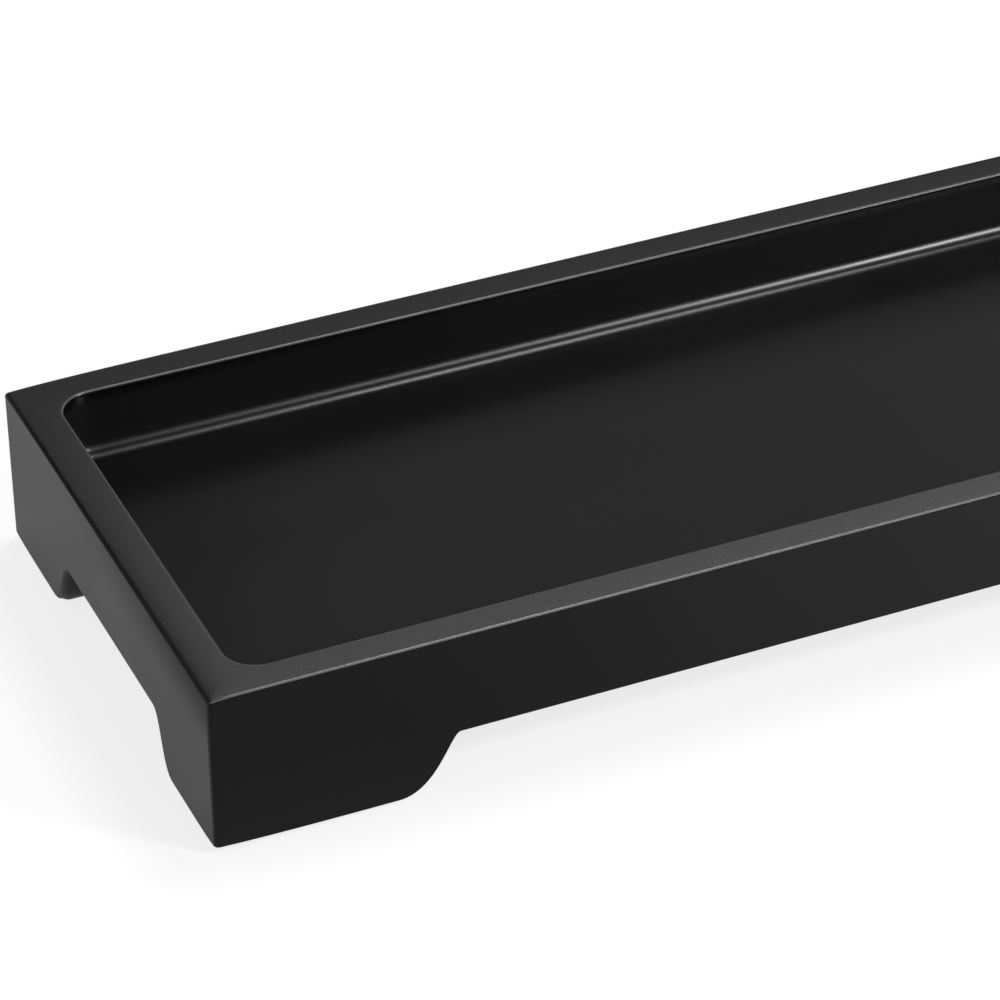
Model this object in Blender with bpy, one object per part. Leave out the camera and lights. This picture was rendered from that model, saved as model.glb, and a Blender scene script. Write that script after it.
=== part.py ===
"""Resin vanity tray: one casting on four corner feet, with a silicone pad stuck under each foot.

Units are metres. +X runs along the tray, +Y across it towards the back, and +Z up. The origin is at
the middle of the footprint, on the surface that the pads stand on.
"""
import math

import bmesh
import bpy

# Driving sizes of the casting
tray_length = 0.300
tray_width = 0.120
floor_thickness = 0.0078
well_depth = 0.0152
side_rim_width = 0.0073
end_rim_width = 0.0085
rim_corner_radius = 0.0003
outer_edge_radius = 0.0008
floor_corner_radius = 0.0033
cove_radius = 0.0037
well_edge_radius = 0.0005
cut_edge_radius = 0.0004

# Feet: flat lengths at the ground, then the sweep that rises from them to the underside
foot_height = 0.0128
foot_length = 0.0383
foot_width = 0.0254
side_sweep_run = 0.0134
end_sweep_run = 0.0093

# How far each end of a sweep's curve holds its level direction, as a share of the sweep's run
side_heel_share = 0.625
side_crown_share = 0.167
end_heel_share = 0.620
end_crown_share = 0.448

# Pads and the adhesive that holds them in round recesses
pad_diameter = 0.0150
pad_thickness = 0.0016
pad_proud = 0.0008
pad_edge_radius = 0.0003
pad_edge_bulge_share = 0.5
pad_side_clearance = 0.0004
adhesive_diameter = 0.0130
adhesive_thickness = 0.0004

# Gap left between touching pieces, and how far a cutter runs past what it cuts
seat_gap = 0.0003
cut_overrun = 0.0050

# Counts of steps along the round stretches
corner_steps = 10
edge_steps = 4
cove_steps = 8
cut_edge_steps = 2
pad_edge_steps = 3
sweep_steps = 22
disc_sides = 48

# Angles between faces, in degrees, past which an edge is drawn sharp or is softened
sharp_past = 30
soften_past = 40

# Heights worked out from the sizes above
foot_bottom = pad_proud
underside = foot_bottom + foot_height
well_floor = underside + floor_thickness
rim_top = well_floor + well_depth
recess_depth = pad_thickness - pad_proud + adhesive_thickness + seat_gap + seat_gap
recess_diameter = pad_diameter + pad_side_clearance + pad_side_clearance

# Plan radii of the walls: each wraps its flat face's corner by the rounding between the two
outer_corner_radius = rim_corner_radius + outer_edge_radius
well_corner_radius = floor_corner_radius + cove_radius

half_length = tray_length / 2
half_width = tray_width / 2


def clear_scene():
    """Remove every object that the scene starts with."""
    for item in list(bpy.data.objects):
        bpy.data.objects.remove(item)


def plain_material(name, colour, roughness):
    """A non-metallic surface of one colour and roughness."""
    material = bpy.data.materials.new(name)
    material.use_nodes = True
    shader = material.node_tree.nodes["Principled BSDF"]
    shader.inputs["Base Color"].default_value = colour
    shader.inputs["Roughness"].default_value = roughness
    shader.inputs["Metallic"].default_value = 0.0
    material.diffuse_color = colour
    return material


def black_resin():
    """Satin black cast resin."""
    return plain_material("black_resin", (0.012, 0.012, 0.013, 1.0), 0.38)


def pad_silicone():
    """Milky grey silicone of the pads."""
    return plain_material("pad_silicone", (0.32, 0.33, 0.34, 1.0), 0.55)


def pad_glue():
    """Pale acrylic adhesive film."""
    return plain_material("pad_glue", (0.72, 0.70, 0.62, 1.0), 0.45)


def placed(shape, name):
    """An object that holds the shape, with all its faces turned outward."""
    bmesh.ops.recalc_face_normals(shape, faces=shape.faces)
    mesh = bpy.data.meshes.new(name)
    shape.to_mesh(mesh)
    shape.free()
    solid = bpy.data.objects.new(name, mesh)
    bpy.context.scene.collection.objects.link(solid)
    return solid


def piece(shape, name, material):
    """A piece of the tray: its round stretches are shaded smooth, and it has a material of its own."""
    solid = placed(shape, name)
    solid.data.shade_smooth()
    solid.data.set_sharp_from_angle(angle=math.radians(sharp_past))
    solid.data.materials.append(material)
    return solid


def cutter(shape, name):
    """A guide solid that is only subtracted from another."""
    solid = placed(shape, name)
    solid.hide_render = True
    solid.display_type = "WIRE"
    return solid


def cut(solid, tool):
    """Subtract one solid from another with an exact Boolean."""
    modifier = solid.modifiers.new("cut_" + tool.name, "BOOLEAN")
    modifier.operation = "DIFFERENCE"
    modifier.solver = "EXACT"
    modifier.object = tool


def soften(solid):
    """Round the edges that the cuts leave sharp."""
    modifier = solid.modifiers.new("soft_edges", "BEVEL")
    modifier.width = cut_edge_radius
    modifier.segments = cut_edge_steps
    modifier.limit_method = "ANGLE"
    modifier.angle_limit = math.radians(soften_past)
    modifier.use_clamp_overlap = False
    modifier.miter_outer = "MITER_ARC"


def round_rectangle(half_x, half_y, radius, height):
    """Points of a level rectangle with round corners, anticlockwise from its +X side."""
    points = []
    corners = ((1, 1, 0), (-1, 1, 90), (-1, -1, 180), (1, -1, 270))
    for side_x, side_y, start in corners:
        centre_x = side_x * (half_x - radius)
        centre_y = side_y * (half_y - radius)
        for step in range(corner_steps + 1):
            angle = math.radians(start + 90 * step / corner_steps)
            x = centre_x + radius * math.cos(angle)
            y = centre_y + radius * math.sin(angle)
            points.append((x, y, height))
    return points


def outer_loop(inset, height):
    """The outline of the casting, drawn in by an inset that its corners follow."""
    radius = outer_corner_radius - inset
    return round_rectangle(half_length - inset, half_width - inset, radius, height)


def well_loop(inset, height):
    """The outline of the well, drawn in by an inset that its corners follow."""
    half_x = half_length - end_rim_width - inset
    half_y = half_width - side_rim_width - inset
    return round_rectangle(half_x, half_y, well_corner_radius - inset, height)


def casting_loops():
    """Loops from the foot bottom, up the outer wall, over the rim and down the well to its floor."""
    loops = [outer_loop(0, foot_bottom)]
    for step in range(edge_steps + 1):
        angle = math.radians(90 * step / edge_steps)
        inset = outer_edge_radius * (1 - math.cos(angle))
        height = rim_top - outer_edge_radius * (1 - math.sin(angle))
        loops.append(outer_loop(inset, height))
    for step in range(edge_steps + 1):
        angle = math.radians(90 * step / edge_steps)
        inset = -well_edge_radius * (1 - math.sin(angle))
        height = rim_top - well_edge_radius * (1 - math.cos(angle))
        loops.append(well_loop(inset, height))
    for step in range(cove_steps + 1):
        angle = math.radians(90 * step / cove_steps)
        inset = cove_radius * (1 - math.cos(angle))
        height = well_floor + cove_radius * (1 - math.sin(angle))
        loops.append(well_loop(inset, height))
    return loops


def lofted_block(loops):
    """Join each loop to the next with a band of faces, and close the first and the last with flat faces."""
    shape = bmesh.new()
    rings = []
    for loop in loops:
        rings.append([shape.verts.new(point) for point in loop])
    for lower, upper in zip(rings, rings[1:]):
        for index, corner in enumerate(lower):
            shape.faces.new((lower[index - 1], corner, upper[index], upper[index - 1]))
    shape.faces.new(rings[0])
    shape.faces.new(rings[-1])
    return shape


def sweep_points(flat, run, heel_share, crown_share):
    """A foot's inner outline, as distance in from the tray's side and height over the foot bottom.

    It is one cubic curve that leaves the ground level, rises to the underside and ends level there.
    """
    heel = flat + heel_share * run
    crown = flat + run - crown_share * run
    points = []
    for step in range(sweep_steps + 1):
        t = step / sweep_steps
        start = (1 - t) ** 3
        heel_pull = 3 * t * (1 - t) ** 2
        crown_pull = 3 * t ** 2 * (1 - t)
        end = t ** 3
        across = start * flat + heel_pull * heel + crown_pull * crown + end * (flat + run)
        rise = (crown_pull + end) * foot_height
        points.append((across, rise))
    return points


def channel_section(half_span, flat, run, heel_share, crown_share):
    """Closed outline of the gap between two feet, as (place across the span, height)."""
    rise = sweep_points(flat, run, heel_share, crown_share)
    left = [(across - half_span, foot_bottom + height) for across, height in rise]
    right = [(half_span - across, foot_bottom + height) for across, height in reversed(rise)]
    below = foot_bottom - cut_overrun
    return [(flat - half_span, below)] + left + right + [(half_span - flat, below)]


def extruded(outline, travel):
    """A prism: a flat outline carried along a straight travel."""
    shape = bmesh.new()
    face = shape.faces.new([shape.verts.new(point) for point in outline])
    grown = bmesh.ops.extrude_face_region(shape, geom=[face])
    moved = [part for part in grown["geom"] if isinstance(part, bmesh.types.BMVert)]
    bmesh.ops.translate(shape, verts=moved, vec=travel)
    return shape


def crosswise_channel():
    """The gap between the left and the right feet, open through the two long sides."""
    section = channel_section(half_length, foot_length, side_sweep_run, side_heel_share, side_crown_share)
    start = -half_width - cut_overrun
    outline = [(across, start, height) for across, height in section]
    return cutter(extruded(outline, (0, -2 * start, 0)), "crosswise_channel")


def lengthwise_channel():
    """The gap between the front and the back feet, open through the two ends."""
    section = channel_section(half_width, foot_width, end_sweep_run, end_heel_share, end_crown_share)
    start = -half_length - cut_overrun
    outline = [(start, across, height) for across, height in section]
    return cutter(extruded(outline, (-2 * start, 0, 0)), "lengthwise_channel")


def disc(diameter, low, high, centre):
    """An upright round disc between two heights."""
    shape = bmesh.new()
    radius = diameter / 2
    bmesh.ops.create_cone(shape, cap_ends=True, segments=disc_sides, radius1=radius, radius2=radius,
                          depth=high - low)
    middle = (low + high) / 2
    bmesh.ops.translate(shape, verts=shape.verts, vec=(centre[0], centre[1], middle))
    return shape


def foot_centre(side_x, side_y):
    """The middle of a foot's flat bottom."""
    x = side_x * (half_length - foot_length / 2)
    y = side_y * (half_width - foot_width / 2)
    return (x, y)


def tray_body(material, centres):
    """The casting: a block with its well, cut by two channels between its feet and a recess under each."""
    body = piece(lofted_block(casting_loops()), "tray_body", material)
    cut(body, crosswise_channel())
    cut(body, lengthwise_channel())
    for place, centre in centres.items():
        low = foot_bottom - cut_overrun
        hole = disc(recess_diameter, low, foot_bottom + recess_depth, centre)
        cut(body, cutter(hole, "recess_" + place))
    soften(body)
    return body


def foot_pad(place, centre, material):
    """A silicone pad with softened rims, standing a little proud of its recess."""
    shape = disc(pad_diameter, 0, pad_thickness, centre)
    rims = [edge for edge in shape.edges if edge.verts[0].co.z == edge.verts[1].co.z]
    bmesh.ops.bevel(shape, geom=rims, offset=pad_edge_radius, segments=pad_edge_steps,
                    profile=pad_edge_bulge_share, affect="EDGES")
    return piece(shape, "foot_pad_" + place, material)


def pad_adhesive(place, centre, material):
    """The adhesive disc between a pad and the roof of its recess."""
    low = pad_thickness + seat_gap
    shape = disc(adhesive_diameter, low, low + adhesive_thickness, centre)
    return piece(shape, "pad_adhesive_" + place, material)


def build_tray():
    """Make the casting, then a pad and its adhesive under each foot."""
    clear_scene()
    centres = {
        "front_left": foot_centre(-1, -1),
        "front_right": foot_centre(1, -1),
        "back_left": foot_centre(-1, 1),
        "back_right": foot_centre(1, 1),
    }
    tray_body(black_resin(), centres)
    silicone = pad_silicone()
    glue = pad_glue()
    for place, centre in centres.items():
        foot_pad(place, centre, silicone)
        pad_adhesive(place, centre, glue)


build_tray()
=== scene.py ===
"""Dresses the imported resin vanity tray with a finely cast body, its silicone feet and their finishes.

Units are metres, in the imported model's frame: +X along the tray, +Y towards its back and +Z up.
"""
import math
from collections import namedtuple

import bmesh
import bpy
import numpy as np
from mathutils import Matrix, Vector


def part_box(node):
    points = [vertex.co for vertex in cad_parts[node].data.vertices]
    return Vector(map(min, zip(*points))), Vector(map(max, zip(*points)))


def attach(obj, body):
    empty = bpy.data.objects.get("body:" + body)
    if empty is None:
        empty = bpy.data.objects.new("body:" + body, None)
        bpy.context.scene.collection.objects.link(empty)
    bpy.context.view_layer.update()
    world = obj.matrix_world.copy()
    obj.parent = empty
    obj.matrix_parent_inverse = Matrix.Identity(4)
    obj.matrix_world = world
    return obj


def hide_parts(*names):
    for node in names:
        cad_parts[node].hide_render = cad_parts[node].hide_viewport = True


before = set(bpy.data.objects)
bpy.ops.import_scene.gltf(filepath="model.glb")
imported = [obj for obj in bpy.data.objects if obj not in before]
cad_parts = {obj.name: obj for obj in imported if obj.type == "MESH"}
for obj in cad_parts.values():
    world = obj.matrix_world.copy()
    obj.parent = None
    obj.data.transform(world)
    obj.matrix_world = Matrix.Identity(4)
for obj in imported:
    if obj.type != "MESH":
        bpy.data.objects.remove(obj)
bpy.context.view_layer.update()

# Sizes of the casting and the pads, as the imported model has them
end_rim_width = 0.0085
side_rim_width = 0.0073
well_depth = 0.0152
rim_corner_radius = 0.0003
outer_edge_radius = 0.0008
floor_corner_radius = 0.0033
cove_radius = 0.0037
cut_edge_radius = 0.0004
foot_height = 0.0128
foot_length = 0.0383
foot_width = 0.0254
side_sweep_run = 0.0134
end_sweep_run = 0.0093
side_heel_share = 0.625
side_crown_share = 0.167
end_heel_share = 0.620
end_crown_share = 0.448
recess_depth = 0.0018
recess_diameter = 0.0158
pad_edge_radius = 0.0003

# The well's lip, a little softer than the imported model's
well_edge_radius = 0.0006

# The outer edge's wide roll, which is narrower along the front, and its crisp corner
roll_radius = 0.00175
front_roll_radius = 0.0011
roll_turn = math.radians(32)
crisp_radius = 0.00026

# The rim's crown, and one worn corner with its fades along both sides
rim_crown = 0.00010
worn_rim_corner = 0.0005
rim_corner_fade_along = 0.009
rim_corner_fade_across = 0.012

# The left end's top edge, rubbed in and down: the fades, and where rubbing starts and how soon it is full
rubbed_in = 0.0003
rubbed_in_fade = 0.0012
rubbed_in_fade_down = 0.003
rubbed_down = 0.0005
rubbed_down_fade = 0.0016
rubbing_start = 0.02
rubbing_run = 0.075

# The well's far wall, bowed towards the front: the bow's middle and reach, and the runs over which it comes
well_bow = 0.0009
well_bow_middle = -0.04
well_bow_reach = 0.17
well_bow_start = 0.010
well_bow_run = 0.035
well_bow_rim_run = 0.005
well_bow_floor_run = 0.002

# The feet's worn outer tips, with their fades along both sides
worn_foot_tip = 0.0007
foot_tip_fade_along = 0.012
foot_tip_fade_across = 0.003

# The back feet's inner edges, rolled wide: the added radius, its runs along the edge and its reach inwards
rolled_heel = 0.0019
rolled_heel_run = 0.006
rolled_heel_stop = 0.0082
rolled_heel_stop_run = 0.0018
rolled_heel_depth = 0.008

# The gap between the front and back feet sits towards the front, and its back edge a little more so
gap_offset = 0.0013
heel_offset = 0.0006
heel_offset_reach = 0.02
gap_side_run = 0.0025
gap_top = 0.001
gap_top_run = 0.004

# Noise between these values covers the whole range of a finish
noise_low = 0.3
noise_high = 0.7

# The resin's blacks; the sanded rim's grey with painted light, palest at the front right; the painted
# highlight's grey on the edges; and the painted light's grey on the well's walls
resin_blacks = ((0.0014, 0.0014, 0.0016, 1), (0.0028, 0.0028, 0.0031, 1))
sanded_grey_and_painted_light_front_left = 0.034
sanded_grey_and_painted_light_front_right = 0.056
sanded_grey_and_painted_light_back = 0.0005
painted_highlight_grey = 0.09
wall_painted_light_grey = 0.0045

# The stretch of the well's walls over which their painted light grows, from left to right
wall_painted_light_left = -0.06
wall_painted_light_right = 0.06

# The noise that speckles the sanded grey, and how much it takes from it or adds to it
speckle_low = 0.35
speckle_high = 0.65
faintest_speckle = 0.55
strongest_speckle = 1.45

# The resin's roughness, and the depth of its waves and of its grain, with the grain's share on cast faces
cast_roughness = (0.27, 0.31)
sanded_roughness = (0.54, 0.66)
wall_roughness = 0.62
peel_depth = 0.000003
grain_depth = 0.00002
cast_grain = 0.1

# The silicone's greys, roughness and grain, and how far light goes into it
silicone_greys = ((0.27, 0.28, 0.29, 1), (0.37, 0.38, 0.39, 1))
silicone_roughness = (0.46, 0.62)
silicone_grain_depth = 0.00001
silicone_glow = 0.35
silicone_glow_depth = 0.0008

# The adhesive film's creams, roughness and fibres, which are this many times finer along each axis
film_creams = ((0.64, 0.62, 0.53, 1), (0.78, 0.76, 0.69, 1))
film_roughness = (0.38, 0.62)
fibre_depth = 0.00002
fibre_fineness = (1, 6, 1)

# Where the left end's wall is rubbed dull: in from the end, towards the front and down from the rim
most_dull = 0.8
dull_in_full = 0.0003
dull_in_stop = 0.0015
dull_back = 0.02
dull_front = -0.055
dull_down_full = 0.001
dull_down_stop = 0.011

# Where sanding dies out and where the painted highlight lies, as the tilt of the surface from the rim's
# flat
sanding_fade = math.radians(16)
lip_highlight_tilt = math.radians(30)
edge_highlight_tilt = math.radians(38)
highlight_spread = math.radians(18)

# How strongly the front edge carries the painted highlight, and how much sanding the left rim loses at its
# outer edge, as painted shade
front_edge_highlight = 1.6
# Painted shade: the left rim loses sanded grey towards its outer edge, where it turns from the light
left_rim_painted_shade = 0.55

# The well's matt walls: the glossy strip below the lip, and the turn of the cove over which mattness fades
glossy_strip = 0.0008
cove_fade = math.radians(25)

# Marks that each point of a piece carries for its finish and its painted highlight, and rows of points with
# their marks
finish_marks = ("sanded", "painted_highlight", "matt")
Stretch = namedtuple("Stretch", "rows marks")

# Half the side of the square patch of foot that surrounds each pad's recess
patch_reach = 0.0100

# Distance of a fine row of faces from the cove, which keeps the well's floor evenly shaded
hold_row = 0.0002

# Points nearer than the first are merged, and the second keeps a divisor above nothing
merge_distance = 1e-6
never_zero = 1e-9

# Counts of faces along the round, swept and flat stretches
corner_steps = 5
edge_steps = 8
roll_steps = 9
wall_steps = 22
cove_steps = 18
cut_edge_steps = 8
rim_steps = 12
sweep_steps = 40
patch_steps = 12
gap_steps = 7
beside_patch_steps = 3
well_wall_steps = 6
well_floor_steps = 6
turned_sides = 96

# Rows over flat stretches, as shares of the way out from a middle, or in from the patch's border
pad_flat_shares = (0, 0.35, 0.7, 0.93, 0.98)
recess_roof_shares = (0.97, 0.6, 0.3, 0)
patch_shares = (0, 0.5, 0.85)

# The floor's and the room's brightness, where 1 is white: as lit, to the eye, in gloss and on matt surfaces
floor_tone = 0.25
floor_glow = 0.80
floor_tone_in_gloss = 0.10
# The floor's glow in gloss is a painted pool of light, dim at the front left, with a painted shadow under
# the tray
floor_front_left_gloss = 0.17
floor_front_right_gloss = 0.45
floor_back_gloss = 0.387
floor_gloss_painted_shadow = 0.2
floor_fill = 0.4
room_fill = 0.36
room_gloss = 0.045

# The floor's height and size, and where its brightness in gloss changes
floor_level = -0.0002
floor_reach = 3.0
front_gloss_left = -0.10
front_gloss_right = 0.08
front_gloss_stop = 1.3
back_gloss_start = 0.7
# The painted shadow under the tray fades out from this far inside its outline to this far outside it
shade_inside = 0.02
shade_outside = 0.004

# The photograph's camera: its place, the way it was turned, and its lens on a frame, both in millimetres
lens_place = (-0.37039, -0.71151, 0.54270)
lens_right = (0.91538, -0.40246, -0.01071)
lens_down = (-0.23280, -0.50742, -0.82966)
lens_forward = (0.32846, 0.76194, -0.55817)
lens_length = 163.18
lens_frame = 36

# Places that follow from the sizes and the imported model
tray_low, tray_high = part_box("tray_body")
half_length = tray_high.x
half_width = tray_high.y
foot_bottom = tray_low.z
underside_level = foot_bottom + foot_height
rim_top = tray_high.z
well_floor = rim_top - well_depth
outer_corner_radius = rim_corner_radius + outer_edge_radius
well_corner_radius = floor_corner_radius + cove_radius
pad_low, pad_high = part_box("foot_pad_back_right")
pad_x = (pad_low.x + pad_high.x) / 2
pad_y = (pad_low.y + pad_high.y) / 2
pad_places = ("front_left", "front_right", "back_left", "back_right")


def smooth_step(value):
    """Rises from 0 to 1 with level ends: 3v^2 - 2v^3, with v held between 0 and 1."""
    held = np.clip(value, 0, 1)
    return held * held * (3 - 2 * held)


def bell(value, middle, spread):
    """1 at the middle, dying out to both sides: exp(-((value - middle) / spread)^2)."""
    return np.exp(-((value - middle) / spread) ** 2)


def lifted(flat, height):
    """Points in space from plan points and their heights."""
    return np.concatenate((flat, np.broadcast_to(height, (len(flat), 1))), axis=1)


def swept_half(half, flat, run, heel_share, crown_share, pad_centre):
    """Places along half a side, from its middle out to the centre of its corner's rounding.

    Each place has the height of the gap between the feet there, and the direction into the solid from
    that gap's surface. The gap's outline is one cubic over t from 0 to 1, with s = 1 - t. Its distance in
    from the side is s^3 flat + 3ts^2 heel + 3t^2 s crown + t^3 (flat + run), and its height is the foot's
    height times 3t^2 - 2t^3. Round the pad, places stand at even angles as seen from the pad's centre.
    """
    t = np.linspace(1, 0, sweep_steps + 1)
    s = 1 - t
    end = flat + run
    heel = flat + heel_share * run
    crown = end - crown_share * run
    inward = s ** 3 * flat + 3 * t * s ** 2 * heel + 3 * t ** 2 * s * crown + t ** 3 * end
    rise = foot_height * (3 * t ** 2 - 2 * t ** 3)
    slope_in = 3 * (s ** 2 * (heel - flat) + 2 * t * s * (crown - heel) + t ** 2 * (end - crown))
    slope_up = 6 * foot_height * t * s
    gap = np.linspace(0, half - end, gap_steps + 1)[:-1]
    angles = np.linspace(-math.pi / 4, math.pi / 4, patch_steps + 1)
    patch = pad_centre + patch_reach * np.tan(angles)
    before = np.linspace(half - flat, patch[0], beside_patch_steps + 1)[1:-1]
    after = np.linspace(patch[-1], half - outer_corner_radius, beside_patch_steps + 1)[1:]
    foot = np.concatenate((before, patch, after))
    places = np.concatenate((gap, half - inward, foot))
    height = np.concatenate((np.full(len(gap), foot_height), rise, np.zeros(len(foot))))
    swept_lean = slope_up / np.hypot(slope_in, slope_up)
    lean = np.concatenate((np.zeros(len(gap)), swept_lean, np.zeros(len(foot))))
    return places, height, lean


def mirrored(places, height, lean):
    """A whole side from its half: places and leans change sign across the middle, and heights don't."""
    return (
        np.concatenate((-places[:0:-1], places)),
        np.concatenate((height[:0:-1], height)),
        np.concatenate((-lean[:0:-1], lean)),
    )


lengthwise = mirrored(*swept_half(
    half_length, foot_length, side_sweep_run, side_heel_share, side_crown_share, pad_x,
))
crosswise = mirrored(*swept_half(
    half_width, foot_width, end_sweep_run, end_heel_share, end_crown_share, pad_y,
))


def outline():
    """The columns of faces round the tray, anticlockwise from the front left corner.

    Each has the centre that its corner turns about, its outward normal, the height of the gap there, and
    how far the direction into the solid leans along the side. Corners turn at even angles.
    """
    turn = np.linspace(0, math.pi / 2, 2 * corner_steps + 1)[1:-1]
    core_x = half_length - outer_corner_radius
    core_y = half_width - outer_corner_radius
    front, right, back, left = (0, -1), (1, 0), (0, 1), (-1, 0)
    core, normal, height, lean = [], [], [], []
    for side, way, facing in (
        (lengthwise, 1, front), (crosswise, 1, right), (lengthwise, -1, back), (crosswise, -1, left),
    ):
        run, rise, tilt = (column[::way] for column in side)
        if side is lengthwise:
            core.append(np.stack((run, np.full(len(run), facing[1] * core_y)), axis=1))
        else:
            core.append(np.stack((np.full(len(run), facing[0] * core_x), run), axis=1))
        normal.append(np.tile(facing, (len(run), 1)))
        height.append(rise)
        lean.append(tilt)
        start = math.atan2(facing[1], facing[0])
        core.append(np.tile(core[-1][-1], (len(turn), 1)))
        normal.append(np.stack((np.cos(start + turn), np.sin(start + turn)), axis=1))
        height.append(np.zeros(len(turn)))
        lean.append(np.zeros(len(turn)))
    return np.concatenate(core), np.concatenate(normal), np.concatenate(height), np.concatenate(lean)


def heel_roll(y):
    """The extra radius of the end walls' lower edge: it comes and goes at the back feet's inner edges."""
    past = y - (half_width - foot_width - end_sweep_run)
    gone = smooth_step((past - rolled_heel_stop) / rolled_heel_stop_run)
    return rolled_heel * smooth_step(past / rolled_heel_run) * (1 - gone)


core, normal, gap_height, gap_lean = outline()
leftward = np.clip(-normal[:, 0], 0, 1)
forward = np.clip(-normal[:, 1], 0, 1) ** 2
roll = (roll_radius + (front_roll_radius - roll_radius) * forward)[:, None]
well_core = core * np.array((
    (half_length - end_rim_width - well_corner_radius) / (half_length - outer_corner_radius),
    (half_width - side_rim_width - well_corner_radius) / (half_width - outer_corner_radius),
))


def outer_row(inset, level):
    """A row round the outer wall: the corner's centre plus the radius, less the inset, times the normal."""
    return lifted(core + (outer_corner_radius - inset) * normal, level)


def well_row(inset, level):
    """A row round the well, worked out as the outer wall's rows are, with the well's own corners."""
    return lifted(well_core + (well_corner_radius - inset) * normal, level)


def crowned(share):
    """The rim's height at a share of the way in across it: it drops by the crown times (2s - 1)^2."""
    return rim_top - rim_crown * (2 * share - 1) ** 2


def edge_run(tilt):
    """How far out from the rim's flat the outer edge has come where the surface leans by the tilt.

    It leans over on a wide roll first and then turns down on a crisp corner: R sin t up to the roll's turn,
    and r (sin t - sin turn) more beyond it.
    """
    rolled = min(tilt, roll_turn)
    return roll * math.sin(rolled) + crisp_radius * (math.sin(tilt) - math.sin(rolled))


def edge_drop(tilt):
    """How far the outer edge has dropped there: R (1 - cos t), and r (cos turn - cos t) past the turn."""
    rolled = min(tilt, roll_turn)
    return roll * (1 - math.cos(rolled)) + crisp_radius * (math.cos(rolled) - math.cos(tilt))


edge_inset = edge_run(math.pi / 2)
lip_angles = np.linspace(0, math.pi / 2, edge_steps + 1)


def eased(start, stop, count, hold):
    """Rows from start to stop, both left out: even steps that begin and end a hold's distance away."""
    length = np.linalg.norm(stop - start, axis=1, keepdims=True)
    rows = []
    for part in np.linspace(0, 1, count + 1):
        inner = hold / length + part * (1 - 2 * hold / length)
        rows.append(start + inner * (stop - start))
    return rows


def stretch(rows, sanded=0, painted_highlight=0, matt=0):
    """Rows with their marks: a mark is one number, or a column with one for each row, or a full grid."""
    rows = np.stack(rows)
    marks = [np.broadcast_to(mark, rows.shape[:2]) for mark in (sanded, painted_highlight, matt)]
    return Stretch(rows, np.stack(marks, axis=2))


def lower_edge():
    """The rounded lower edge, which follows the gaps between the feet.

    A point is the sharp edge, plus r(1 - cos a) straight in, plus r(1 - sin a) into the solid from the gap.
    """
    on_long_side = np.abs(normal[:, 1]) == 1
    up = np.sqrt(1 - gap_lean ** 2)
    into = np.stack((np.where(on_long_side, gap_lean, 0), np.where(on_long_side, 0, gap_lean), up), axis=1)
    inward = lifted(-normal, 0)
    sharp = outer_row(0, (foot_bottom + gap_height)[:, None])
    radius = (cut_edge_radius + np.where(on_long_side, 0, heel_roll(core[:, 1])))[:, None]
    rows = []
    for angle in np.linspace(math.pi / 2, 0, cut_edge_steps + 1):
        rows.append(sharp + radius * (1 - math.cos(angle)) * inward + radius * (1 - math.sin(angle)) * into)
    return stretch(rows)


def outer_wall(bottom, top):
    """The outer wall between its edges, with rows (1 - cos a) / 2 of the way up, closest at both ends."""
    turns = np.linspace(0, math.pi, wall_steps + 1)[1:-1]
    return stretch([bottom + (1 - math.cos(turn)) / 2 * (top - bottom) for turn in turns])


def upper_edge():
    """The outer wall's upper edge, from upright to level. Sanding dies out down it, and it carries a
    painted highlight.
    """
    crisp = np.linspace(math.pi / 2, roll_turn, edge_steps)
    tilts = np.concatenate((crisp, np.linspace(roll_turn, 0, roll_steps)[1:]))
    rows = []
    for tilt in tilts:
        inset = edge_inset - edge_run(tilt)
        rows.append(outer_row(inset, crowned(inset / side_rim_width) - edge_drop(tilt)))
    # Painted shade: less sanded grey on the left end's outer edge
    sanded = (1 - smooth_step(tilts / sanding_fade))[:, None] * (1 - left_rim_painted_shade * leftward)
    # Painted highlight: pale grey on the front edge, at the tilt where the lamps' highlight falls
    painted_highlight = front_edge_highlight * bell(tilts, edge_highlight_tilt, highlight_spread)[:, None] * forward
    return stretch(rows, sanded, painted_highlight)


def rim_flat(start):
    """The crowned rim between its edges, sanded less towards the left end's outer edge: glossier there, and
    its lost grey is painted shade.
    """
    stop = well_row(-well_edge_radius, rim_top)
    width = side_rim_width - edge_inset - well_edge_radius
    shares = np.linspace(0, 1, rim_steps + 1)[1:-1]
    rows = []
    for share in shares:
        row = start + share * (stop - start)
        row[:, 2:] = crowned((edge_inset + share * width) / side_rim_width)
        rows.append(row)
    return stretch(rows, 1 - left_rim_painted_shade * (1 - shares)[:, None] * leftward)


def lip():
    """The well's lip, a quarter circle from the rim to the well's wall, sanded at its top and with a
    painted highlight.
    """
    rows = []
    for angle in lip_angles:
        inset = -well_edge_radius * (1 - math.sin(angle))
        level = crowned(1 + inset / side_rim_width) - well_edge_radius * (1 - math.cos(angle))
        rows.append(well_row(inset, level))
    sanded = (1 - smooth_step(lip_angles / sanding_fade))[:, None]
    # Painted highlight: pale grey round the lip, at the tilt where the lamps' highlight falls
    return stretch(rows, sanded, bell(lip_angles, lip_highlight_tilt, highlight_spread)[:, None])


def well_wall(top):
    """The well's wall, which is glossy at its first row under the lip and matt from the next one down."""
    rows = eased(top, well_row(0, well_floor + cove_radius), well_wall_steps, glossy_strip)
    return stretch(rows, matt=(np.arange(len(rows)) > 0)[:, None])


def cove():
    """The cove, a quarter circle from the wall to the floor. Mattness fades over its first turn."""
    turns = np.linspace(0, math.pi / 2, cove_steps + 1)
    rows = []
    for turn in turns:
        inset = cove_radius * (1 - math.cos(turn))
        rows.append(well_row(inset, well_floor + cove_radius * (1 - math.sin(turn))))
    return stretch(rows, matt=(1 - smooth_step(turns / cove_fade))[:, None])


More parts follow.
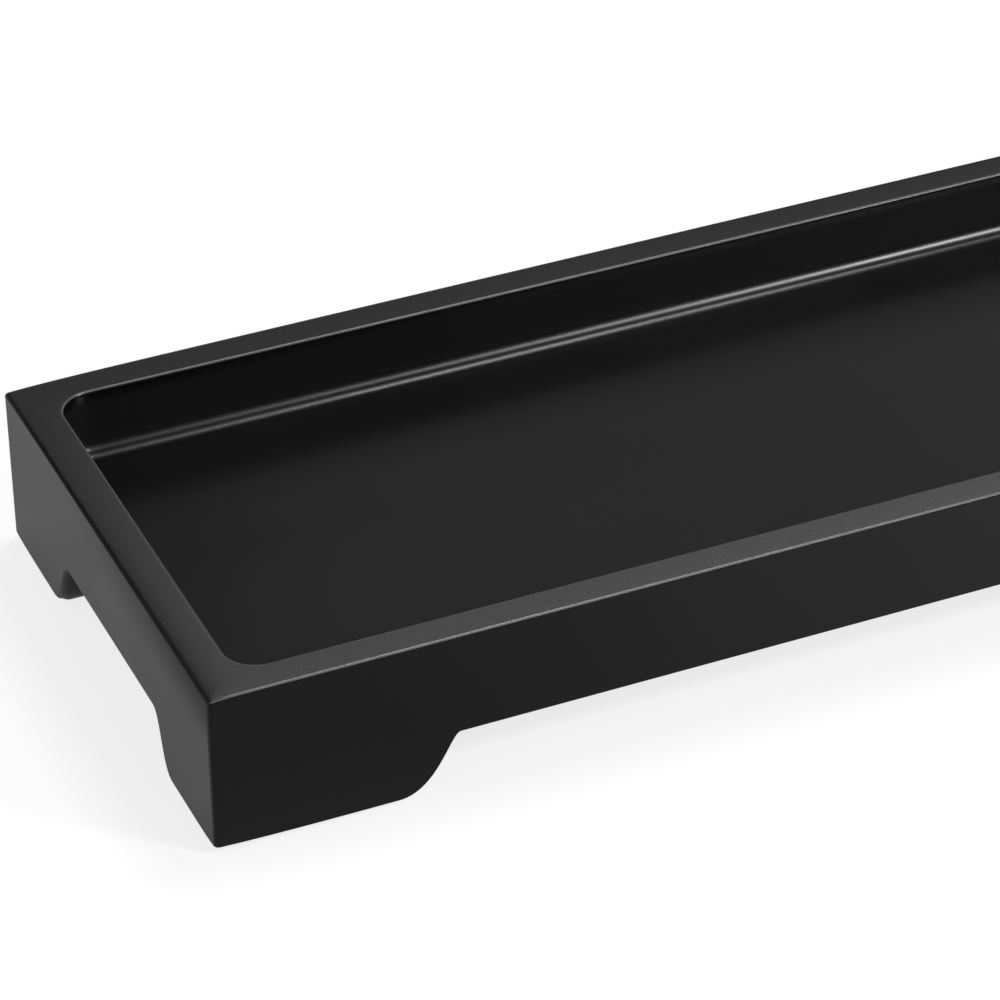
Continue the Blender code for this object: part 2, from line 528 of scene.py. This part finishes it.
def well_bottom(border):
    """The well's floor, whose rows run from the cove in to a spine along the floor's middle."""
    floor_x, floor_y = np.abs(border[:, 0]).max(), np.abs(border[:, 1]).max()
    spine = np.stack((border[:, 0] * (1 - floor_y / floor_x), np.zeros(len(border)), border[:, 2]), axis=1)
    return stretch(eased(border, spine, well_floor_steps, hold_row) + [spine])


def skin():
    """The casting's skin from the lower edge up the outer wall, over the rim and down into the well.

    Every row goes once round the outline, and each point has its marks.
    """
    below, edge, mouth, curve = lower_edge(), upper_edge(), lip(), cove()
    stretches = (
        below, outer_wall(below.rows[-1], edge.rows[0]), edge, rim_flat(edge.rows[-1]),
        mouth, well_wall(mouth.rows[-1]), curve, well_bottom(curve.rows[-1]),
    )
    points, faces = banded(np.concatenate([part.rows for part in stretches]))
    marks = np.concatenate([part.marks for part in stretches])
    return points, faces, marks.reshape(-1, len(finish_marks))


def underside():
    """The feet's bottoms and the gaps between them, as a grid over the plan.

    The height over the feet's bottoms is the greater of the crosswise gap's and the lengthwise gap's.
    Where both rise together, a smooth greatest rounds the foot's inner corner: k/4 (1 - |a - b| / k)^2 is
    added, and k dies out at the ground and at the top. At the tray's corners, a square of the grid becomes
    a quarter disc: p is scaled by sqrt(1 - q^2/2), and q by sqrt(1 - p^2/2). Each square of the grid is
    split along the diagonal that points at the tray's nearest corner.
    """
    reach = outer_corner_radius - cut_edge_radius
    turn = reach * math.sqrt(2) * np.sin(np.linspace(0, math.pi / 4, corner_steps + 1)[1:])
    at_corner = np.zeros(corner_steps)
    plan, heights = [], []
    for places, height in (lengthwise[:2], crosswise[:2]):
        plan.append(np.concatenate((places[0] - turn[::-1], places, places[-1] + turn)))
        heights.append(np.concatenate((at_corner, height, at_corner)))
    x, y = np.meshgrid(*plan, indexing="ij")
    gap_x, gap_y = np.meshgrid(*heights, indexing="ij")
    most = np.maximum(gap_x, gap_y)
    level = most / foot_height
    blend = never_zero + 4 * cut_edge_radius * level * (1 - level)
    rise = most + blend / 4 * np.clip(1 - np.abs(gap_x - gap_y) / blend, 0, 1) ** 2
    core_x, core_y = lengthwise[0][-1], crosswise[0][-1]
    p = np.clip(np.abs(x) - core_x, 0, None) / reach
    q = np.clip(np.abs(y) - core_y, 0, None) / reach
    round_x = np.where(p > 0, np.sign(x) * (core_x + reach * p * np.sqrt(1 - q * q / 2)), x)
    round_y = np.where(q > 0, np.sign(y) * (core_y + reach * q * np.sqrt(1 - p * p / 2)), y)
    near_end = (np.abs(x) - half_length + rolled_heel_depth) / (rolled_heel_depth - cut_edge_radius)
    inward = heel_roll(y) * smooth_step(near_end)
    points = np.stack((round_x - np.sign(x) * inward, round_y, foot_bottom + rise), axis=2)
    index = np.arange(x.size).reshape(x.shape)
    a, b, c, d = index[:-1, :-1], index[1:, :-1], index[1:, 1:], index[:-1, 1:]
    middle_x = (x[:-1, :-1] + x[1:, 1:]) / 2
    middle_y = (y[:-1, :-1] + y[1:, 1:]) / 2
    from_pad = np.maximum(np.abs(np.abs(middle_x) - pad_x), np.abs(np.abs(middle_y) - pad_y))
    off_pad = from_pad > patch_reach
    rising = middle_x * middle_y > 0
    faces = []
    for halves, chosen in ((((a, b, c), (a, c, d)), rising), (((a, b, d), (b, c, d)), ~rising)):
        for half in halves:
            faces.append(np.stack([corner[chosen & off_pad] for corner in half], axis=1))
    return points.reshape(-1, 3), np.concatenate(faces)


def recess_rows(centre_x, centre_y):
    """A pad's recess: rows from the square patch's border in to the mouth, up the wall and over the roof.

    A row is the square's border drawn towards a circle, which then follows a profile of radius and height:
    a quarter circle at the mouth, the wall, and a quarter circle at the roof.
    """
    side = np.tan(np.linspace(-math.pi / 4, math.pi / 4, patch_steps + 1)[:-1])
    ones = np.ones(patch_steps)
    border = np.concatenate((
        np.stack((side, -ones), axis=1), np.stack((ones, side), axis=1),
        np.stack((-side, ones), axis=1), np.stack((-ones, -side), axis=1),
    ))
    circle = border / np.linalg.norm(border, axis=1, keepdims=True)
    wall = recess_diameter / 2
    mouth = wall + cut_edge_radius
    roof = foot_bottom + recess_depth
    quarter = np.linspace(0, math.pi / 2, cut_edge_steps + 1)
    rows = []
    for share in patch_shares:
        flat = (1 - share) * patch_reach * border + share * mouth * circle
        rows.append(lifted(flat, foot_bottom))
    profile = []
    for angle in quarter:
        out = mouth - cut_edge_radius * math.sin(angle)
        profile.append((out, foot_bottom + cut_edge_radius * (1 - math.cos(angle))))
    for angle in quarter:
        out = wall - cut_edge_radius * (1 - math.cos(angle))
        profile.append((out, roof - cut_edge_radius * (1 - math.sin(angle))))
    profile += [(share * (wall - cut_edge_radius), roof) for share in recess_roof_shares]
    rows = np.stack(rows + [lifted(out * circle, level) for out, level in profile])
    rows[:, :, :2] += (centre_x, centre_y)
    return rows


def hand_finished(points):
    """The points with the small unevenness of a hand-finished casting.

    Each foot's outer tip is worn up, and one rim corner down, by exp(-distance / fade) along both sides.
    The left end's top edge is rubbed in and down towards the front, dying out the same way. The lengthwise
    gap slides towards the front, in full below the underside and not at all by the well's floor. The
    well's far wall bows towards the front by 1 - ((x - middle) / reach)^2.
    """
    x, y, z = points.T.copy()
    low = 1 - smooth_step((z - foot_bottom) / foot_height)
    high = smooth_step((z - underside_level) / (rim_top - underside_level))
    from_end = half_length - np.abs(x)
    from_side = half_width - np.abs(y)
    from_left = half_length + x
    from_back = half_width - y
    tip = np.exp(-from_end / foot_tip_fade_along - from_side / foot_tip_fade_across)
    corner = np.exp(-from_left / rim_corner_fade_along - from_back / rim_corner_fade_across)
    rubbing = smooth_step((rubbing_start - y) / rubbing_run)
    in_gap = 1 - smooth_step((foot_width - from_side) / gap_side_run)
    below = 1 - smooth_step((z - underside_level - gap_top) / gap_top_run)
    slid = gap_offset + heel_offset * smooth_step((y + heel_offset_reach) / (2 * heel_offset_reach))
    far = smooth_step((y - well_bow_start) / well_bow_run)
    inside = smooth_step((from_back - side_rim_width) / well_bow_rim_run + 1)
    above = smooth_step((z - well_floor) / well_bow_floor_run + 1)
    bowed = far * inside * above * np.clip(1 - ((x - well_bow_middle) / well_bow_reach) ** 2, 0, 1)
    near_edge = np.exp(-(rim_top - z) / rubbed_in_fade_down - from_left / rubbed_in_fade)
    moved_x = x + rubbed_in * rubbing * near_edge
    moved_y = y - slid * in_gap * below - well_bow * bowed
    moved_z = z + worn_foot_tip * tip * low - worn_rim_corner * corner * high
    moved_z -= rubbed_down * rubbing * np.exp(-from_left / rubbed_down_fade) * high
    return np.stack((moved_x, moved_y, moved_z), axis=1)


def banded(rows):
    """Points and four-cornered faces of rows that each close on themselves."""
    count, columns = rows.shape[:2]
    index = np.arange(count * columns).reshape(count, columns)
    after = np.roll(index, -1, axis=1)
    faces = np.stack((index[:-1], after[:-1], after[1:], index[1:]), axis=2)
    return rows.reshape(-1, 3), faces.reshape(-1, 4)


def unmarked(points, faces):
    """A sheet without wear or painted highlight: every mark is 0 at every point."""
    return points, faces, np.zeros((len(points), len(finish_marks)))


def shown_piece(name, sheets, finish, slot, *nodes):
    """One closed piece from sheets of points, faces and marks, merged where the sheets meet."""
    faces, start = [], 0
    for points, corners, marks in sheets:
        faces += (corners + start).tolist()
        start += len(points)
    mesh = bpy.data.meshes.new(name)
    mesh.from_pydata(np.concatenate([sheet[0] for sheet in sheets]).tolist(), [], faces)
    point_marks = np.concatenate([sheet[2] for sheet in sheets]).astype(np.float32)
    for mark, share in zip(finish_marks, point_marks.T):
        mesh.attributes.new(mark, "FLOAT", "POINT").data.foreach_set("value", share.copy())
    shape = bmesh.new()
    shape.from_mesh(mesh)
    loose = [corner for corner in shape.verts if not corner.link_faces]
    bmesh.ops.delete(shape, geom=loose, context="VERTS")
    bmesh.ops.remove_doubles(shape, verts=shape.verts, dist=merge_distance)
    bmesh.ops.recalc_face_normals(shape, faces=shape.faces)
    shape.to_mesh(mesh)
    shape.free()
    mesh.shade_smooth()
    made = bpy.data.objects.new(name, mesh)
    bpy.context.scene.collection.objects.link(made)
    made.data.materials.append(finish)
    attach(made, "root")
    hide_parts(*nodes)


def cast_body(finish):
    """The tray's casting: its skin, its underside and a recess under each foot."""
    sheets = [skin(), unmarked(*underside())]
    for centre_x in (-pad_x, pad_x):
        for centre_y in (-pad_y, pad_y):
            sheets.append(unmarked(*banded(recess_rows(centre_x, centre_y))))
    sheets = [(hand_finished(points), faces, marks) for points, faces, marks in sheets]
    shown_piece("cast_body", sheets, finish, "resin", "tray_body")


def silicone_foot(place, finish):
    """One pad: a profile of radius and height turned about the pad's upright axis.

    Each rim of the profile is a quarter circle of the edge's radius, and its faces run to the axis.
    """
    low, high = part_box("foot_pad_" + place)
    radius = (high.x - low.x) / 2
    flat = radius - pad_edge_radius
    quarter = np.linspace(0, math.pi / 2, edge_steps + 1)
    profile = [(share * flat, low.z) for share in pad_flat_shares]
    for angle in quarter:
        out = radius - pad_edge_radius * (1 - math.sin(angle))
        profile.append((out, low.z + pad_edge_radius * (1 - math.cos(angle))))
    for angle in quarter:
        out = radius - pad_edge_radius * (1 - math.cos(angle))
        profile.append((out, high.z - pad_edge_radius * (1 - math.sin(angle))))
    profile += [(share * flat, high.z) for share in reversed(pad_flat_shares)]
    turn = np.linspace(0, 2 * math.pi, turned_sides + 1)[:-1]
    circle = np.stack((np.cos(turn), np.sin(turn)), axis=1)
    rows = np.stack([lifted(out * circle, level) for out, level in profile])
    rows[:, :, :2] += ((low.x + high.x) / 2, (low.y + high.y) / 2)
    sheets = [unmarked(*banded(rows))]
    shown_piece("silicone_foot_" + place, sheets, finish, "silicone", "foot_pad_" + place)


def added(tree, kind, inputs, **settings):
    """A new node: its sockets take values, or are fed by other nodes' outputs."""
    node = tree.nodes.new(kind)
    for name, value in settings.items():
        setattr(node, name, value)
    for key, value in inputs.items():
        if isinstance(value, bpy.types.NodeSocket):
            tree.links.new(value, node.inputs[key])
        else:
            node.inputs[key].default_value = value
    return node


def finish_start(name):
    """A new material, with its node tree, its shader and the surface's own place in metres."""
    material = bpy.data.materials.new(name)
    material.use_nodes = True
    tree = material.node_tree
    return material, tree, tree.nodes["Principled BSDF"], own_place(tree)


def own_place(tree):
    """The place on the object, in metres."""
    return added(tree, "ShaderNodeTexCoord", {}).outputs["Object"]


def axes(tree, place):
    """A place's distances along X, Y and Z."""
    apart = added(tree, "ShaderNodeSeparateXYZ", {"Vector": place})
    return apart.outputs["X"], apart.outputs["Y"], apart.outputs["Z"]


def carried(tree, mark):
    """A mark that the piece's points carry."""
    return added(tree, "ShaderNodeAttribute", {}, attribute_name=mark).outputs["Fac"]


def noise(tree, place, scale, detail, roughness=0.5):
    """Noise from 0 to 1 over the surface, with that many swings in a metre."""
    inputs = {"Vector": place, "Scale": scale, "Detail": detail, "Roughness": roughness}
    return added(tree, "ShaderNodeTexNoise", inputs).outputs["Fac"]


def ranged(tree, value, low, high, to_low, to_high):
    """The value carried from one range to another and held at its ends."""
    inputs = {"Value": value, "From Min": low, "From Max": high, "To Min": to_low, "To Max": to_high}
    return added(tree, "ShaderNodeMapRange", inputs).outputs["Result"]


def varied(tree, swings, low, high):
    """Noise carried to a range."""
    return ranged(tree, swings, noise_low, noise_high, low, high)


def sums(tree, operation, *values):
    """One step of arithmetic on numbers or outputs."""
    return added(tree, "ShaderNodeMath", dict(enumerate(values)), operation=operation).outputs[0]


def between(tree, share, first, second):
    """A number between two, by a share. Sockets 2 and 3 are the node's pair of numbers."""
    return added(tree, "ShaderNodeMix", {0: share, 2: first, 3: second}, data_type="FLOAT").outputs[0]


def tinted(tree, share, first, second):
    """A colour between two, by a share. Sockets 6 and 7 are the node's pair of colours."""
    return added(tree, "ShaderNodeMix", {0: share, 6: first, 7: second}, data_type="RGBA").outputs[2]


def bumped(tree, height, strength, distance, **under):
    """The surface's normal under a grain of that depth, which may lie on another bump's normal."""
    inputs = {"Strength": strength, "Distance": distance, "Height": height, **under}
    return added(tree, "ShaderNodeBump", inputs).outputs[0]


def coat(tree, shader, colour, roughness, normal):
    """Feeds the shader its colour, roughness and normal."""
    tree.links.new(colour, shader.inputs["Base Color"])
    tree.links.new(roughness, shader.inputs["Roughness"])
    tree.links.new(normal, shader.inputs["Normal"])


def satin_resin():
    """Satin black cast resin, with a sandy rim rubbed down by hand, whose grey is partly painted light and
    palest at the front.

    The rim's edges carry a painted highlight in pale grey, and the left end's wall is rubbed dull at its
    top towards the front.
    The well's walls are matt, with painted light in grey growing towards the right.
    """
    material, tree, shader, place = finish_start("satin_black_resin")
    x, y, z = axes(tree, place)
    sanded, painted_highlight, matt = (carried(tree, mark) for mark in finish_marks)
    clouds = noise(tree, place, scale=30, detail=3)
    grain = noise(tree, place, scale=2600, detail=3, roughness=0.65)
    peel = noise(tree, place, scale=380, detail=2)

    # Painted light: the sanded rim's grey grows from back to front and from left to right, where more light
    # falls on it
    painted_light_towards_front = ranged(tree, y, half_width, -half_width, 0, 1)
    front_sanded_grey_and_painted_light = ranged(tree, x, -half_length, half_length, sanded_grey_and_painted_light_front_left, sanded_grey_and_painted_light_front_right)
    sanded_grey_and_painted_light = sums(tree, "MULTIPLY_ADD", painted_light_towards_front, front_sanded_grey_and_painted_light, sanded_grey_and_painted_light_back)
    speckles = ranged(tree, grain, speckle_low, speckle_high, faintest_speckle, strongest_speckle)
    speckled_grey_and_painted_light = sums(tree, "MULTIPLY", sanded_grey_and_painted_light, speckles)
    # Painted highlight: the edges' pale grey is added here
    dust_and_painted_light = sums(tree, "MULTIPLY_ADD", painted_highlight, painted_highlight_grey, sums(tree, "MULTIPLY", speckled_grey_and_painted_light, sanded))
    # Painted light: the well's matt walls grow paler from left to right, as more light falls on the right
    wall_painted_light = ranged(tree, x, wall_painted_light_left, wall_painted_light_right, 0, wall_painted_light_grey)
    dust_and_painted_light = sums(tree, "MULTIPLY_ADD", matt, wall_painted_light, dust_and_painted_light)
    cast = tinted(tree, clouds, *resin_blacks)
    colour = added(tree, "ShaderNodeVectorMath", {0: cast, 1: dust_and_painted_light}, operation="ADD").outputs[0]

    dull = ranged(tree, x, dull_in_stop - half_length, dull_in_full - half_length, 0, most_dull)
    dull = sums(tree, "MULTIPLY", dull, ranged(tree, y, dull_back, dull_front, 0, 1))
    under_rim = ranged(tree, z, rim_top - dull_down_stop, rim_top - dull_down_full, 0, 1)
    dull = sums(tree, "MAXIMUM", sums(tree, "MULTIPLY", dull, under_rim), sanded)
    unsanded = between(tree, matt, varied(tree, clouds, *cast_roughness), wall_roughness)
    roughness = between(tree, dull, unsanded, varied(tree, grain, *sanded_roughness))

    waved = bumped(tree, peel, strength=1, distance=peel_depth)
    grain_share = sums(tree, "MULTIPLY_ADD", sanded, 1 - cast_grain, cast_grain)
    rasped = bumped(tree, grain, grain_share, grain_depth, Normal=waved)
    coat(tree, shader, colour, roughness, rasped)
    return material


def milky_silicone():
    """Milky grey silicone, slightly see-through, with a fine moulded grain."""
    material, tree, shader, place = finish_start("milky_grey_silicone")
    clouds = noise(tree, place, scale=260, detail=3)
    grain = noise(tree, place, scale=5200, detail=2)
    colour = tinted(tree, clouds, *silicone_greys)
    grained = bumped(tree, grain, strength=0.5, distance=silicone_grain_depth)
    coat(tree, shader, colour, varied(tree, grain, *silicone_roughness), grained)
    shader.inputs["Subsurface Weight"].default_value = silicone_glow
    shader.inputs["Subsurface Radius"].default_value = (1, 1, 1)
    shader.inputs["Subsurface Scale"].default_value = silicone_glow_depth
    return material


def acrylic_film():
    """Pale acrylic adhesive film, cloudy, with a fibrous grain along the tray."""
    material, tree, shader, place = finish_start("pale_acrylic_film")
    clouds = noise(tree, place, scale=420, detail=4, roughness=0.6)
    drawn = added(tree, "ShaderNodeVectorMath", {0: place, 1: fibre_fineness}, operation="MULTIPLY")
    fibres = noise(tree, drawn.outputs[0], scale=900, detail=3)
    grained = bumped(tree, fibres, strength=0.6, distance=fibre_depth)
    coat(tree, shader, tinted(tree, clouds, *film_creams), varied(tree, fibres, *film_roughness), grained)
    return material


def ray_share(tree, *kinds):
    """1 for rays of these kinds and 0 for others."""
    rays = added(tree, "ShaderNodeLightPath", {})
    share = rays.outputs[kinds[0]]
    for kind in kinds[1:]:
        share = sums(tree, "MAXIMUM", share, rays.outputs[kind])
    return share


def floor_in_gloss(tree):
    """The floor's glow in reflections, a painted pool of light: dim at the front left, brighter elsewhere,
    with a painted shadow under the tray.
    """
    x, y = axes(tree, own_place(tree))[:2]
    front = ranged(
        tree, x, front_gloss_left, front_gloss_right, floor_front_left_gloss, floor_front_right_gloss,
    )
    glow = ranged(
        tree, y, -front_gloss_stop * half_width, -back_gloss_start * half_width, front, floor_back_gloss,
    )
    shades = []
    for out, half in ((x, half_length), (y, half_width)):
        out = sums(tree, "ABSOLUTE", out)
        shades.append(ranged(tree, out, half - shade_inside, half + shade_outside, floor_gloss_painted_shadow, 1))
    return sums(tree, "MULTIPLY", glow, sums(tree, "MAXIMUM", *shades))


def pale_floor():
    """The floor's finish: white to the eye, dimmer in reflections, and clear from below.

    It gives matt surfaces a little light of its own as well.
    """
    material = bpy.data.materials.new("pale_floor")
    material.use_nodes = True
    tree = material.node_tree
    tree.nodes.clear()
    seen = ray_share(tree, "Is Camera Ray", "Is Transmission Ray")
    in_gloss = ray_share(tree, "Is Glossy Ray")
    glow = sums(tree, "MULTIPLY", in_gloss, floor_in_gloss(tree))
    glow = sums(tree, "MULTIPLY_ADD", seen, floor_glow, glow)
    glow = sums(tree, "MULTIPLY_ADD", ray_share(tree, "Is Diffuse Ray"), floor_fill, glow)
    glowing = added(tree, "ShaderNodeEmission", {"Strength": glow}).outputs[0]
    tone = sums(tree, "MULTIPLY_ADD", in_gloss, floor_tone_in_gloss - floor_tone, floor_tone)
    matt = added(tree, "ShaderNodeBsdfDiffuse", {"Color": tone}).outputs[0]
    lit = added(tree, "ShaderNodeAddShader", {0: matt, 1: glowing}).outputs[0]
    clear = added(tree, "ShaderNodeBsdfTransparent", {}).outputs[0]
    below = added(tree, "ShaderNodeNewGeometry", {}).outputs["Backfacing"]
    mixed = added(tree, "ShaderNodeMixShader", {0: below, 1: lit, 2: clear}).outputs[0]
    added(tree, "ShaderNodeOutputMaterial", {"Surface": mixed})
    return material


def studio_floor():
    """A wide disc just under the pads."""
    turn = np.linspace(0, 2 * math.pi, turned_sides + 1)[:-1]
    rim = np.stack((floor_reach * np.cos(turn), floor_reach * np.sin(turn)), axis=1)
    mesh = bpy.data.meshes.new("studio_floor")
    mesh.from_pydata(lifted(rim, floor_level).tolist(), [], [list(range(turned_sides))])
    mesh.materials.append(pale_floor())
    floor = bpy.data.objects.new("studio_floor", mesh)
    bpy.context.scene.collection.objects.link(floor)


def studio_world():
    """A room that is white to the eye, dark in reflections and soft on matt surfaces."""
    world = bpy.data.worlds.new("studio")
    bpy.context.scene.world = world
    world.use_nodes = True
    tree = world.node_tree
    seen = ray_share(tree, "Is Camera Ray", "Is Transmission Ray")
    in_gloss = ray_share(tree, "Is Glossy Ray")
    strength = sums(tree, "MULTIPLY_ADD", seen, 1 - room_fill, room_fill)
    strength = sums(tree, "MULTIPLY_ADD", in_gloss, room_gloss - room_fill, strength)
    background = tree.nodes["Background"]
    background.inputs["Color"].default_value = (1, 1, 1, 1)
    tree.links.new(strength, background.inputs["Strength"])


def softbox(name, place, width, height, radiance, width_axis=(1, 0, 0)):
    """A soft lamp that faces the well's middle. Its power is pi times its area times its radiance."""
    lamp = bpy.data.lights.new(name, "AREA")
    lamp.shape = "RECTANGLE"
    lamp.size = width
    lamp.size_y = height
    lamp.energy = math.pi * width * height * radiance
    stand = bpy.data.objects.new(name, lamp)
    bpy.context.scene.collection.objects.link(stand)
    back = (Vector(place) - Vector((0, 0, well_floor))).normalized()
    upright = back.cross(width_axis).normalized()
    turned = Matrix((upright.cross(back), upright, back)).transposed()
    stand.matrix_world = Matrix.Translation(place) @ turned.to_4x4()
    stand.visible_camera = False


def photo_camera():
    """The photograph's view. The camera's own axes are the picture's right, its up and the way back."""
    camera = bpy.data.cameras.new("photo_camera")
    camera.sensor_width = lens_frame
    camera.lens = lens_length
    stand = bpy.data.objects.new("photo_camera", camera)
    bpy.context.scene.collection.objects.link(stand)
    turned = Matrix((lens_right, -Vector(lens_down), -Vector(lens_forward))).transposed()
    stand.matrix_world = Matrix.Translation(lens_place) @ turned.to_4x4()
    bpy.context.scene.camera = stand


cast_body(satin_resin())
silicone = milky_silicone()
film = acrylic_film()
for pad_place in pad_places:
    silicone_foot(pad_place, silicone)
    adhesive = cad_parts["pad_adhesive_" + pad_place]
    adhesive.data.materials.clear()
    adhesive.data.materials.append(film)
photo_camera()
studio_floor()
studio_world()

# The key and the front strip draw the far cove's upper bright line, and the overhead strip its lower one
softbox("front_right_key", (0.63, -0.77, 0.80), width=0.18, height=0.18, radiance=60)
softbox("front_strip", (0.44, -0.74, 0.849), width=0.34, height=0.05, radiance=18)
softbox(
    "overhead_strip", (0.315, 0.202, 1.145), width=0.58, height=0.12, radiance=27,
    width_axis=(0.30, -0.36, 0),
)

# Wide, faint lamps behind the tray and at its right
softbox("low_back", (-0.10, 0.8, 0.2), width=0.9, height=0.15, radiance=1.35)
softbox("high_back", (0.68, 0.8, 0.53), width=1.2, height=0.38, radiance=0.30)
softbox("right_side", (1.0, 0.5, 0.5), width=0.8, height=0.8, radiance=0.55)
bpy.context.scene.view_settings.view_transform = "Standard"
